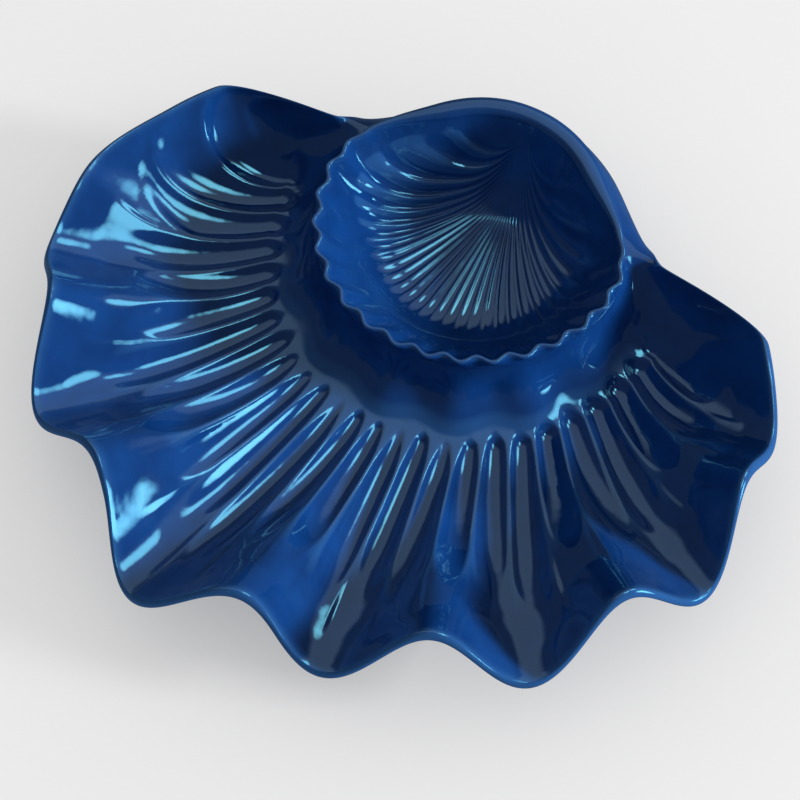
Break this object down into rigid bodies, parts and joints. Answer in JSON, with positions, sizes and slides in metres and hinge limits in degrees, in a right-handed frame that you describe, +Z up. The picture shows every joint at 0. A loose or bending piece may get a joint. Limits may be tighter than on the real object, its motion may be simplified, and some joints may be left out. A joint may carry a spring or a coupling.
{
  "type": "shell-shaped serving dish",
  "caption": "Shell-shaped chip-and-dip dish: a fluted scallop tray with a lobed rim that wraps round a raised dip bowl, on an arched foot and a round foot.",
  "frame": {"origin": "on the table, under the middle of the dish's outline", "axes": "+X to the right seen from the front, along the longest extent; front with the lobed rim towards -Y; +Z up, the shortest extent"},
  "size_m": [0.3364, 0.2974, 0.058],
  "materials": {
    "cobalt_glaze": "glossy cobalt glaze",
    "bare_clay": "unglazed fired clay"
  },
  "bodies": {
    "root": {"tray_shell": "cobalt_glaze", "dip_bowl": "cobalt_glaze", "slip_joint": "cobalt_glaze", "tray_foot": "bare_clay", "bowl_foot": "bare_clay"}
  },
  "joints": []
}
